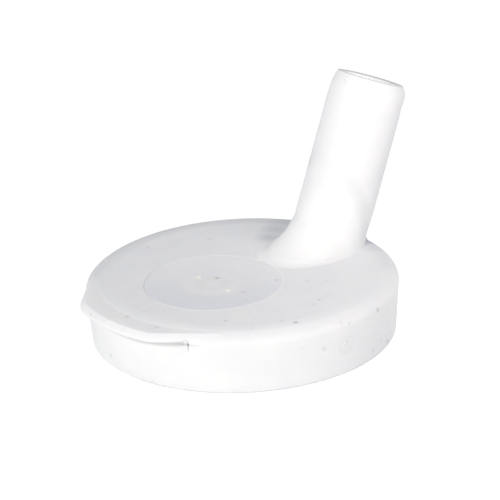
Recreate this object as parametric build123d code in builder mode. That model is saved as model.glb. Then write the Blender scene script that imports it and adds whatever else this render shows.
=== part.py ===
from build123d import *
from math import acos, cos, pi, radians, sin, sqrt, tan
import os

# A press-on lid for a drinking cup, moulded in one piece.
# The origin is on the skirt's axis, in the plane of the rim.
# The spout leans towards +X and the thumb tab points towards -X.

# Skirt, drawn in slightly at the rim, and its shoulder, bevelled and rounded at both corners
skirt_radius = 39.0
skirt_draft_width = 1.1
lid_height = 15.5
shoulder_width = 2.4
shoulder_height = 1.7
shoulder_inner_radius = 4.0
shoulder_outer_radius = 2.0
rim_chamfer_width = 0.4

# Socket that grips the cup
rim_thickness = 1.6
lead_in_width = 0.4
ceiling_chamfer_width = 0.8
plate_thickness = 1.8

# Thumb tab, a ledge whose straight sides start just inside the skirt's edge
tab_length = 3.2
tab_side_inset_width = 1.0
tab_side_angle = 45.3
tab_step_height = 0.12
tab_thickness = 1.9
tab_corner_radius = 8.0
tab_bevel_width = 1.1

# Round mould insert in the top plate, with its witness line and its two gates
insert_radius = 17.25
insert_offset = 8.95
witness_line_width = 0.25
witness_line_height = 0.06
dish_depth = 0.35
dish_floor_radius = 9.5
gate_spacing = 11.7
gate_pit_radius = 1.0
gate_pit_depth = 0.1
gate_pit_taper = 40
gate_nub_radius = 0.6
gate_nub_height = 0.25
gate_nub_taper = 30

# Spout tube, set in from the skirt, and the lip that closes in on its mouth
spout_inset_width = 11.5
spout_lean = 22.6
spout_radius = 9.6
spout_length = 43.3
spout_thickness = 1.8
lip_front_length = 7.0
lip_front_width = 1.0
lip_back_length = 2.5
lip_back_width = 1.2
mouth_radius = 6.9

# Foot of the spout, a wide sweep towards the insert and a tight one behind
foot_height = 8.5
foot_front_width = 10.5
foot_side_height = 4.0
foot_side_width = 2.0
foot_back_height = 1.5
foot_back_width = 0.6
foot_root_depth = 2.0

# Sections drawn for the two curved ends of the spout
foot_levels = 6
lip_levels = 4

# Places worked out from the sizes above
lean = radians(spout_lean)
rim_radius = skirt_radius - skirt_draft_width
socket_radius = rim_radius - rim_thickness
ceiling = lid_height - plate_thickness
tab_top = lid_height - tab_step_height
tab_tip_radius = skirt_radius + tab_length
tab_side_radius = skirt_radius - tab_side_inset_width
tab_half_angle = radians(tab_side_angle) - acos(tab_side_radius / tab_tip_radius)
spout_offset = skirt_radius - spout_inset_width
bore_radius = spout_radius - spout_thickness
lip_start = spout_length - lip_front_length
insert_centre = (-insert_offset, 0, lid_height)
insert_axis = Axis(insert_centre, (0, 0, 1))
spout_plane = Plane(
    origin=(spout_offset, 0, lid_height), x_dir=(cos(lean), 0, -sin(lean)), z_dir=(sin(lean), 0, cos(lean))
)


def polar(radius, angle):
    """A point at this radius, with the angle counted from -X towards +Y."""
    return (-radius * cos(angle), radius * sin(angle))


def sweep_out(height, width, top):
    """How far a quarter ellipse of this width and top stands out at a height."""
    if height >= top:
        return 0
    return width * (1 - sqrt(1 - (1 - height / top) ** 2))


def lip_circle(along):
    """Centre shift and radius of the lip's outline at a distance along the spout."""
    front = lip_front_width * max(0, 1 - (spout_length - along) / lip_front_length) ** 2
    back = lip_back_width * max(0, 1 - (spout_length - along) / lip_back_length) ** 2
    return (front - back) / 2, spout_radius - (front + back) / 2


# Thumb tab, rounded at its two corners and bevelled along its upper edge
with BuildPart() as tab:
    with BuildSketch(Plane.XY.offset(tab_top - tab_thickness)):
        with BuildLine():
            side_start = polar(tab_side_radius, radians(tab_side_angle))
            side_end = polar(tab_tip_radius, tab_half_angle)
            far_start = (side_start[0], -side_start[1])
            far_end = (side_end[0], -side_end[1])
            Line(side_start, side_end)
            ThreePointArc(side_end, (-tab_tip_radius, 0), far_end)
            Polyline(far_end, far_start, side_start)
        make_face()
    extrude(amount=tab_thickness)
    fillet(tab.edges().filter_by(Axis.Z).group_by(Axis.X)[0], tab_corner_radius)
    chamfer(tab.faces().sort_by(Axis.Z)[-1].edges().sort_by(Axis.X)[:-1], tab_bevel_width)

# Flared foot of the spout, in level ellipses that close in on the leaning tube
with BuildPart() as foot:
    for level in range(-1, foot_levels + 1):
        height = foot_height * (1 - cos(max(level, 0) / foot_levels * pi / 2))
        root = foot_root_depth if level < 0 else 0
        middle = spout_offset + height * tan(lean)
        half_length = spout_radius / cos(lean)
        front = middle - half_length - sweep_out(height, foot_front_width, foot_height)
        back = middle + half_length + sweep_out(height, foot_back_width, foot_back_height)
        half_width = spout_radius + sweep_out(height, foot_side_width, foot_side_height)
        with BuildSketch(Plane.XY.offset(lid_height + height - root)):
            with Locations(((front + back) / 2, 0)):
                Ellipse((back - front) / 2, half_width)
    loft()
    with Locations(insert_centre):
        Cylinder(
            insert_radius, foot_height, align=(Align.CENTER, Align.CENTER, Align.MIN), mode=Mode.SUBTRACT
        )

# Tube of the spout, from the top of its foot to its rounded lip
with BuildPart() as tube:
    with BuildSketch(spout_plane):
        Circle(spout_radius)
    extrude(amount=lip_start)
    for level in range(lip_levels + 1):
        along = lip_start + lip_front_length * sin(level / lip_levels * pi / 2)
        shift, radius = lip_circle(along)
        with BuildSketch(spout_plane.offset(along)):
            with Locations((shift, 0)):
                Circle(radius)
    loft()
    split(bisect_by=Plane.XY.offset(lid_height + foot_height), keep=Keep.TOP)

# Bore of the spout, narrowing to the mouth inside the lip
with BuildPart() as bore:
    with BuildSketch(spout_plane.offset(-lid_height / 2)):
        Circle(bore_radius)
    extrude(amount=lip_start + lid_height / 2)
    with Locations(spout_plane.offset(lip_start)):
        Cone(bore_radius, mouth_radius, lip_front_length, align=(Align.CENTER, Align.CENTER, Align.MIN))

# The lid itself
with BuildPart() as lid:
    # Skirt, shoulder and top plate, turned as one blank
    with BuildSketch(Plane.XZ):
        with BuildLine():
            FilletPolyline(
                (0, 0),
                (rim_radius - rim_chamfer_width, 0),
                (rim_radius, rim_chamfer_width),
                (skirt_radius, lid_height - shoulder_height),
                (skirt_radius - shoulder_width, lid_height),
                (0, lid_height),
                radius=(0, 0, shoulder_outer_radius, shoulder_inner_radius),
            )
            Line((0, lid_height), (0, 0))
        make_face()
    revolve(axis=Axis.Z)

    # Thumb tab, foot and tube of the spout
    add(tab.part)
    add(foot.part)
    add(tube.part)

    # Socket for the cup, with a lead-in at the rim and a bevelled corner under the top plate
    with BuildSketch(Plane.XZ):
        with BuildLine():
            Polyline(
                (0, 0),
                (socket_radius + lead_in_width, 0),
                (socket_radius, lead_in_width),
                (socket_radius, ceiling - ceiling_chamfer_width),
                (socket_radius - ceiling_chamfer_width, ceiling),
                (0, ceiling),
                close=True,
            )
        make_face()
    revolve(axis=Axis.Z, mode=Mode.SUBTRACT)
    add(bore.part, mode=Mode.SUBTRACT)

    # Shallow dish of the insert
    with BuildSketch(Plane.XZ):
        with BuildLine():
            Polyline(
                (-insert_offset, lid_height),
                (-insert_offset + insert_radius, lid_height),
                (-insert_offset + dish_floor_radius, lid_height - dish_depth),
                (-insert_offset, lid_height - dish_depth),
                close=True,
            )
        make_face()
    revolve(axis=insert_axis, mode=Mode.SUBTRACT)

    # Witness line round the insert, a fine raised bead
    with BuildSketch(Plane.XZ):
        with Locations((-insert_offset + insert_radius, lid_height)):
            Polygon(
                (-witness_line_width, -witness_line_height),
                (witness_line_width, -witness_line_height),
                (0, witness_line_height),
                align=None,
            )
    revolve(axis=insert_axis)

    # Two gate marks on the floor of the dish, each a nub in a pit
    with BuildSketch(Plane.XY.offset(lid_height - dish_depth)):
        with Locations((-insert_offset, gate_spacing / 2), (-insert_offset, -gate_spacing / 2)):
            Circle(gate_pit_radius)
    extrude(amount=-gate_pit_depth, taper=gate_pit_taper, mode=Mode.SUBTRACT)
    with BuildSketch(Plane.XY.offset(lid_height - dish_depth - gate_pit_depth)):
        with Locations((-insert_offset, gate_spacing / 2), (-insert_offset, -gate_spacing / 2)):
            Circle(gate_nub_radius)
    extrude(amount=gate_nub_height, taper=gate_nub_taper)

lid.part.label = "lid"
os.makedirs("parts", exist_ok=True)
export_step(lid.part, "parts/lid.step")
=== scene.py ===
import math

import bpy
from mathutils import Matrix, Vector

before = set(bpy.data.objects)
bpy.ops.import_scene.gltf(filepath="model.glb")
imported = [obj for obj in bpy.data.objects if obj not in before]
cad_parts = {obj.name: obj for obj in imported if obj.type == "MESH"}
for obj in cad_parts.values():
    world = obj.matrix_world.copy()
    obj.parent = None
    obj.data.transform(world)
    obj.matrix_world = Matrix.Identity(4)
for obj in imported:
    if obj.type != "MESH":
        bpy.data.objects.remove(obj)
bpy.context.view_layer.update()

# Camera. It stands in front of the lid, to the right of the thumb tab, and
# looks down at 22 degrees through a long lens. The picture is square, so the
# lens is given for a 36 mm sensor across that square.
camera_place = Vector((-0.432737, -0.551846, 0.309417))
camera_ahead = Vector((0.57316832, 0.72604695, -0.37991302))
camera_right = Vector((0.77320826, -0.63271633, -0.04264999))

lens = bpy.data.cameras.new("camera")
lens.sensor_width = 36
lens.lens = 220.66
lens.clip_start, lens.clip_end = 0.05, 20
camera = bpy.data.objects.new("camera", lens)
turned = Matrix((camera_right, camera_right.cross(camera_ahead), -camera_ahead)).transposed()
camera.matrix_world = Matrix.Translation(camera_place) @ turned.to_4x4()
bpy.context.scene.collection.objects.link(camera)
bpy.context.scene.camera = camera


# Lid. One shot of soft white plastic, taken to be low-density polyethylene, from a mould with
# two gates. The skin is satin with a faint mottle and a few dark specks, light goes a little
# way into it, and the mould has left a parting line and two gate flecks.
class Sum:
    """A socket that takes part in sums written in Python. Each sum adds its Math node."""

    def __init__(self, shader, socket):
        self.shader, self.socket = shader, socket

    def math(self, operation, first, second=0.0):
        return self.shader.node("ShaderNodeMath", {"operation": operation}, {0: first, 1: second})

    def __add__(self, other):
        return self.math("ADD", self, other)

    def __mul__(self, other):
        return self.math("MULTIPLY", self, other)

    def __sub__(self, other):
        return self.math("SUBTRACT", self, other)

    def __rsub__(self, other):
        return self.math("SUBTRACT", other, self)

    def __truediv__(self, other):
        return self.math("DIVIDE", self, other)

    __radd__, __rmul__ = __add__, __mul__

    def size(self):
        return self.math("ABSOLUTE", self)

    def larger(self, other):
        return self.math("MAXIMUM", self, other)

    def smaller(self, other):
        return self.math("MINIMUM", self, other)

    def fade(self, nearer, further, start=1.0, end=0.0):
        """A smooth step from start to end as this value goes from nearer to further."""
        return self.shader.node(
            "ShaderNodeMapRange", {"interpolation_type": "SMOOTHSTEP"},
            {"Value": self, "From Min": nearer, "From Max": further, "To Min": start, "To Max": end},
        )


class Shader:
    """The nodes of one material, or of the room. Places are read in millimetres from the lid's origin."""

    def __init__(self, owner, **fixed):
        owner.use_nodes = True
        self.owner, self.tree = owner, owner.node_tree
        self.output = next(node for node in self.tree.nodes if "Surface" in node.inputs)
        self.surface = self.output.inputs["Surface"].links[0].from_node
        for socket, value in fixed.items():
            self.surface.inputs[socket.replace("_", " ")].default_value = value

    def node(self, kind, settings, inputs, output=0):
        made = self.tree.nodes.new(kind)
        for name, value in settings.items():
            setattr(made, name, value)
        for name, value in inputs.items():
            self.put(made.inputs[name], value)
        return Sum(self, made.outputs[output])

    def put(self, socket, value):
        if isinstance(value, Sum):
            self.tree.links.new(value.socket, socket)
        else:
            socket.default_value = value

    def feed(self, socket, value):
        self.put(self.surface.inputs[socket], value)

    def place(self):
        metres = self.node("ShaderNodeTexCoord", {}, {}, "Object")
        return self.node("ShaderNodeVectorMath", {"operation": "SCALE"}, {0: metres, "Scale": 1000.0})

    def axes(self, place):
        split = self.node("ShaderNodeSeparateXYZ", {}, {0: place})
        return [Sum(self, socket) for socket in split.socket.node.outputs]

    def counted_from(self, place, point):
        return self.node("ShaderNodeVectorMath", {"operation": "SUBTRACT"}, {0: place, 1: point})

    def towards(self, place, point, way):
        """How far a place lies past a point, along a way of length 1."""
        past = self.counted_from(place, point)
        return self.node("ShaderNodeVectorMath", {"operation": "DOT_PRODUCT"}, {0: past, 1: way}, "Value")

    def away(self, place, point):
        """The distance of a place from a point."""
        return self.node("ShaderNodeVectorMath", {"operation": "DISTANCE"}, {0: place, 1: point}, "Value")

    def off_ring(self, place, point, radius):
        """The distance of a place from a ring round a point."""
        return (self.away(place, point) - radius).size()

    def noise(self, place, per_mm, detail):
        return self.node("ShaderNodeTexNoise", {}, {"Vector": place, "Scale": per_mm, "Detail": detail})

    def tint(self, share, under, over):
        """A colour that goes from one to the other with a share between 0 and 1."""
        return self.node("ShaderNodeMix", {"data_type": "RGBA"}, {0: share, 6: under, 7: over}, 2)

    def seen(self):
        """1 where the camera looks, straight or in gloss or glass, and 0 for light on a surface."""
        rays = self.node("ShaderNodeLightPath", {}, {}).socket.node.outputs
        kinds = "Is Camera Ray", "Is Glossy Ray", "Is Transmission Ray"
        camera, gloss, glass = (Sum(self, rays[kind]) for kind in kinds)
        return camera.larger(gloss).larger(glass)

    def show(self, share, under, over):
        """Puts on the surface one shader or the other, by a share."""
        mixed = self.node("ShaderNodeMixShader", {}, {0: share, 1: under, 2: over})
        self.put(self.output.inputs["Surface"], mixed)


plastic = Shader(
    bpy.data.materials.new("white_polyethylene"), IOR=1.5, Specular_IOR_Level=0.12,
    Subsurface_Weight=0.6, Subsurface_Radius=(1.0, 0.9, 0.8), Subsurface_Scale=0.0025,
    Emission_Strength=1.0,
)
place = plastic.place()
x, y, z = plastic.axes(place)

# The skin, with a faint mottle
mottle = plastic.noise(place, 0.12, 3.0)
grain = plastic.noise(place, 3.5, 2.0)
skin = plastic.tint(mottle.fade(0.35, 0.65), (0.868, 0.868, 0.885, 1), (0.888, 0.886, 0.892, 1))

# The mould insert's dish. Its sloping edge carries a cool painted shade, most on the side of the tab, and
# warm flow marks lie round its two gates
lid_height, insert_radius, dish_floor_radius = 15.5, 17.25, 9.5
insert_centre = (-8.95, 0, lid_height)
from_insert = plastic.away(place, insert_centre)
on_plate = z.fade(14.5, 14.9, 0, 1)
to_shaded_side = plastic.towards(place, insert_centre, (-0.70, -0.71, 0)) / insert_radius
slope = from_insert.fade(dish_floor_radius - 4.5, dish_floor_radius + 0.5, 0, 1)
slope = slope * from_insert.fade(insert_radius - 0.5, insert_radius - 0.1)
dish_painted_shade = slope * to_shaded_side.fade(-0.6, 0.7, 0, 0.7) * on_plate
skin = plastic.tint(dish_painted_shade, skin, (0.765, 0.782, 0.835, 1))
whorls = plastic.node(
    "ShaderNodeTexWave", {"wave_type": "RINGS", "rings_direction": "SPHERICAL"},
    {
        "Vector": plastic.counted_from(place, insert_centre),
        "Scale": 0.05, "Distortion": 7.0, "Detail": 2.0, "Detail Scale": 0.2,
    }, 1,
)
flow = whorls * from_insert.fade(6.0, 11.0) * on_plate
skin = plastic.tint(flow * 0.35, skin, (0.82, 0.785, 0.775, 1))

# The spout's foot, with painted light: its colour is a little lighter than the plate's
foot_painted_light = z.fade(lid_height + 0.02, lid_height + 0.14, 0, 1) * z.fade(24.0, 34.0)
skin = plastic.tint(foot_painted_light, skin, (0.95, 0.945, 0.95, 1))

# Shade beside the spout's root and along the far shoulder. It is painted, because the lamps
# alone leave these places too light: place, radius and how dark
from_axis = plastic.away(place, (0, 0, lid_height))
far_side = plastic.towards(place, (0, 0, 0), (0.62, 0.78, 0)).fade(-5.0, 5.0, 0, 1)
root_shades = (
    ((19.4, 13.0, 15.5), 5.0, 0.38), ((24.0, 16.0, 15.5), 5.5, 0.34), ((28.8, 18.2, 15.3), 6.5, 0.24),
    ((36.3, -6.8, 15.3), 5.0, 0.80), ((35.5, -11.5, 15.2), 5.5, 0.30),
)
shade = from_axis.fade(34.0, 36.5, 0, 0.12) * far_side
for point, radius, dark in root_shades:
    shade = shade.larger(plastic.away(place, point).fade(0.0, radius, dark))
shade = shade * z.fade(lid_height + 0.2, lid_height + 1.2)
skin = plastic.tint(shade, skin, (0.34, 0.37, 0.45, 1))

# The witness line round the insert, with a painted highlight along it but for a stretch of painted shade at
# its left end
witness = plastic.off_ring(place, insert_centre, insert_radius).fade(0.05, 0.3) * on_plate
to_left = plastic.towards(place, insert_centre, (-0.77, 0.63, 0)) / insert_radius
skin = plastic.tint(witness * to_left.fade(0.6, 0.9, 0.65), skin, (0.98, 0.98, 0.98, 1))
skin = plastic.tint(witness * to_left.fade(0.8, 0.95, 0, 0.35), skin, (0.35, 0.35, 0.38, 1))

# The parting line, a hair of flash and a small step along the tab and up the front of the foot
witness_x = insert_centre[0] - insert_radius
on_line = y.size().fade(0.07, 0.2)
on_tab = x.fade(witness_x - 0.4, witness_x) * z.fade(14.2, 14.8, 0, 1)
on_foot = x.fade(9.0, 9.6, 0, 1) * x.fade(15.0, 19.0) * z.fade(lid_height, lid_height + 0.3, 0, 1)
flash = on_line * on_tab.larger(on_foot * 0.5)
step = y.fade(-0.14, 0.14, 0, 1) * y.fade(0.3, 5.0) * on_tab
# The flash is painted paler than the plate, a painted highlight
skin = plastic.tint(flash * 0.6, skin, (0.98, 0.98, 0.975, 1))

# Gate flecks, yellowish and glossier than the plate round them
gate_spacing, gate_height = 11.7, 15.2
left_gate = plastic.away(place, (insert_centre[0], gate_spacing / 2, gate_height))
right_gate = plastic.away(place, (insert_centre[0], -gate_spacing / 2, gate_height))
gate = left_gate.smaller(right_gate).fade(0.5, 1.2)
skin = plastic.tint(gate * 0.8, skin, (0.97, 0.95, 0.84, 1))

# Dark specks, soft at their edges: place, radius and how dark
specks = (
    ((-6.1, 2.2, 15.1), 0.97, 0.36), ((3.2, -9.8, 15.4), 0.93, 0.19), ((5.3, -2.4, 15.4), 0.66, 0.1),
    ((-7.2, -9.5, 15.2), 0.85, 0.17), ((-9.9, -14.0, 15.4), 0.62, 0.14), ((-15.0, -20.8, 15.5), 0.7, 0.09),
    ((-21.6, -20.4, 15.5), 0.85, 0.2), ((-12.0, -29.8, 15.5), 0.7, 0.14), ((-10.3, -33.0, 15.5), 0.93, 0.42),
    ((-19.8, -28.3, 15.5), 0.78, 0.1), ((-35.7, -11.6, 15.4), 0.93, 0.17), ((-36.8, -1.3, 15.4), 0.97, 0.22),
    ((7.9, -15.7, 15.5), 0.78, 0.17), ((11.4, -19.1, 15.5), 0.7, 0.12), ((2.5, -26.6, 15.5), 0.8, 0.22),
    ((-0.5, -27.8, 15.5), 0.71, 0.14), ((-6.7, 29.7, 15.5), 0.85, 0.15), ((-0.7, -38.6, 14.3), 0.78, 0.12),
    ((1.5, -38.9, 13.4), 0.78, 0.14), ((12.3, -36.95, 13.0), 0.97, 0.29), ((-11.8, -36.9, 10.4), 0.78, 0.07),
    ((-6.0, -38.1, 8.8), 0.93, 0.14), ((18.2, -33.4, 1.7), 0.97, 0.29), ((14.5, -35.3, 3.6), 0.78, 0.15),
    ((10.9, -36.5, 2.4), 0.78, 0.14), ((20.4, -32.2, 3.3), 0.78, 0.15), ((-37.8, 5.0, 3.35), 0.97, 0.2),
    ((-41.0, 7.2, 14.2), 0.78, 0.42), ((-37.2, -7.3, 0.2), 0.78, 0.29), ((-36.7, -9.9, 0.9), 0.62, 0.12),
)
dirt = 0.0
for point, radius, dark in specks:
    dirt = plastic.away(place, point).fade(radius * 0.15, radius, dark).larger(dirt)

# A short dash on the plate
dash_place = (8.1, 22.9, lid_height)
dash = plastic.towards(place, dash_place, (0.63, 0.78, 0)).size().fade(0.1, 0.3, 0.34)
dash = dash * plastic.away(place, dash_place).fade(0.5, 0.9)

# A curled hair near the top of the spout
hair = plastic.off_ring(place, (35.1, -1.47, 57.65), 1.1).fade(0.05, 0.2, 0.12)
hair = hair * plastic.away(place, (34.9, -0.5, 57.7)).fade(1.0, 1.5)

# Crumbs of flash on the rim below the tab
crumbs = plastic.noise(place, 1.6, 0.0).fade(0.56, 0.66, 0, 0.4)
crumbs = crumbs * z.fade(0.2, 0.6) * x.fade(-35.5, -34.0) * y.fade(-4.0, -6.0, 0, 1)
dirt = dirt.larger(dash).larger(hair).larger(crumbs)
# One dark colour, for the dirt and for the painted shade under the tab
dirt_and_shade_colour = (0.15, 0.14, 0.14, 1)
skin = plastic.tint(dirt, skin, dirt_and_shade_colour)

# The crease under the tab, with painted shade: a dark line that rises to each side and is lost below in a
# soft shade
crease_height, crease_bow = 11.05, 0.0045
above_crease = z - (y * y * crease_bow + crease_height)
crease_shade = above_crease.fade(-0.9, 0.15, 0, 1) * above_crease.fade(0.5, 1.5)
crease_shade = crease_shade * x.fade(-31.5, -33.0, 0, 1) * y.size().fade(19.0, 20.5)
crease_shade = crease_shade * y.size().fade(0, 12.0, 0.2, 0.36)
skin = plastic.tint(crease_shade, skin, dirt_and_shade_colour)

# A nick where the tab meets the skirt: a dot in an upright slit with a small hook over it,
# and a fine line running on past it
nick_place, hook_place, hook_radius = (-33.17, -20.3, 12.76), (-33.57, -19.8, 13.36), 0.75
near_nick = plastic.away(place, nick_place)
across = plastic.towards(place, nick_place, (0.52, -0.85, 0)).size()
above = z - nick_place[2]
slit = across.fade(0.06, 0.26) * above.fade(-2.4, -0.3, 0, 0.45) * above.fade(0.7, 1.3)
slit = slit * near_nick.fade(2.4, 2.8)
run_on = above.size().fade(0.05, 0.2) * near_nick.fade(1.8, 3.8, 0.22)
hook = plastic.off_ring(place, hook_place, hook_radius).fade(0.04, 0.2) * above.fade(0.6, 0.9, 0, 0.17)
nick = near_nick.fade(0.12, 0.5, 0.75).larger(slit).larger(run_on).larger(hook)
skin = plastic.tint(nick, skin, (0.10, 0.10, 0.10, 1))

# A sink mark on the right of the skirt, a small peak in a shallow crater with a raised rim. The crater's rim
# and the pit are darkened with painted shade, and the peak carries a painted highlight
sink_place, crater_radius, pit_place = (0.7, -38.53, 8.05), 2.1, (0.8, -38.6, 8.9)
crater_rim = plastic.off_ring(place, sink_place, crater_radius).fade(0.1, 0.8)
peak = plastic.away(place, sink_place).fade(0.2, 0.7)
pit = plastic.away(place, pit_place).fade(0.1, 0.5)
skin = plastic.tint(crater_rim * 0.04 + pit * 0.22, skin, (0.30, 0.26, 0.26, 1))
skin = plastic.tint(peak * 0.8, skin, (0.98, 0.98, 0.98, 1))

# The end face of the lip, painted greyer than the rest: painted shade
spout_root, spout_way, spout_length = (27.5, 0, lid_height), (0.384, 0, 0.923), 43.3
up_spout = plastic.towards(place, spout_root, spout_way)
skin = plastic.tint(up_spout.fade(spout_length - 0.4, spout_length, 0, 0.4), skin, (0.36, 0.36, 0.37, 1))
plastic.feed("Base Color", skin)

# The wall just inside the mouth glows a little, because the lamps alone leave it darker than
# in the photograph
mouth_centre = (44.14, 0, 55.47)
in_mouth = plastic.away(place, mouth_centre).fade(7.6, 8.0)
in_mouth = in_mouth * up_spout.fade(spout_length - 0.6, spout_length - 0.2)
plastic.feed("Emission Color", plastic.tint(in_mouth, (0, 0, 0, 1), (0.38, 0.37, 0.36, 1)))

# Gloss and relief, in millimetres. The relief tilts the plate a little towards the shoulder and
# sharpens the base of the foot, which the solid has plainer
plastic.feed("Roughness", 0.5 + mottle * 0.08 - gate * 0.3)
plate_tilt = from_axis.fade(32.5, 37.5)
foot_step = z.fade(lid_height, lid_height + 1.0, 0, 1) * x.fade(19.0, 26.0)
relief = plate_tilt * 0.8 + foot_step * 0.8 + grain * 0.01 + flash * 0.04 + step * 0.09
relief = relief + crater_rim * 0.04 + peak * 0.3 - pit * 0.05 - nick * 0.15 - flow * 0.03
bump = plastic.node("ShaderNodeBump", {}, {"Strength": 1.0, "Distance": 0.001, "Height": relief})
plastic.feed("Normal", bump)

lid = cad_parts["lid"]
lid.data.materials.clear()
lid.data.materials.append(plastic.owner)


# Table and light. A white sweep lies under the lid. A low softbox stands to the left of the
# camera and a small lamp hangs close over the right of the lid, in an even, nearly white room.
# The room and the sweep look pure white, and the sweep keeps the lid's shadow.
bpy.ops.object.select_all(action="DESELECT")
bpy.ops.mesh.primitive_plane_add(size=4, location=(0, 0, 0))
table = bpy.context.object
table.name = "table"
paper = Shader(
    bpy.data.materials.new("white_paper"), Roughness=0.9, Specular_IOR_Level=0.0,
    Base_Color=(0.9, 0.9, 0.9, 1),
)
matt = Sum(paper, paper.surface.outputs[0])
glow = paper.node("ShaderNodeEmission", {}, {"Strength": 0.5})
paper.show(paper.seen(), matt, paper.node("ShaderNodeAddShader", {}, {0: matt, 1: glow}))
table.data.materials.append(paper.owner)

room = Shader(bpy.data.worlds.new("room"), Color=(0.95, 0.965, 1.0, 1), Strength=0.6)
fill = Sum(room, room.surface.outputs[0])
white = room.node("ShaderNodeBackground", {}, {"Color": (1, 1, 1, 1), "Strength": 1.0})
room.show(room.seen(), fill, white)
bpy.context.scene.world = room.owner

# Lamps, aimed at the plate: name, compass angle, rise, distance, width, watts and colour
aim = Vector((0, 0, 0.015))
lamps = (
    ("softbox", -158.1, 6, 0.9, 0.3, 4.4, (1.0, 0.98, 0.92)),
    ("near_lamp", -68, 45, 0.17, 0.1, 0.074, (1.0, 0.93, 0.88)),
)
for name, turn, rise, distance, width, watts, colour in lamps:
    lamp = bpy.data.objects.new(name, bpy.data.lights.new(name, "AREA"))
    lamp.data.size, lamp.data.energy, lamp.data.color = width, watts, colour
    turn, rise = math.radians(turn), math.radians(rise)
    outwards = Vector((math.cos(turn) * math.cos(rise), math.sin(turn) * math.cos(rise), math.sin(rise)))
    lamp.location = aim + outwards * distance
    lamp.rotation_euler = outwards.to_track_quat("Z", "Y").to_euler()
    bpy.context.scene.collection.objects.link(lamp)

bpy.context.scene.view_settings.view_transform = "Standard"
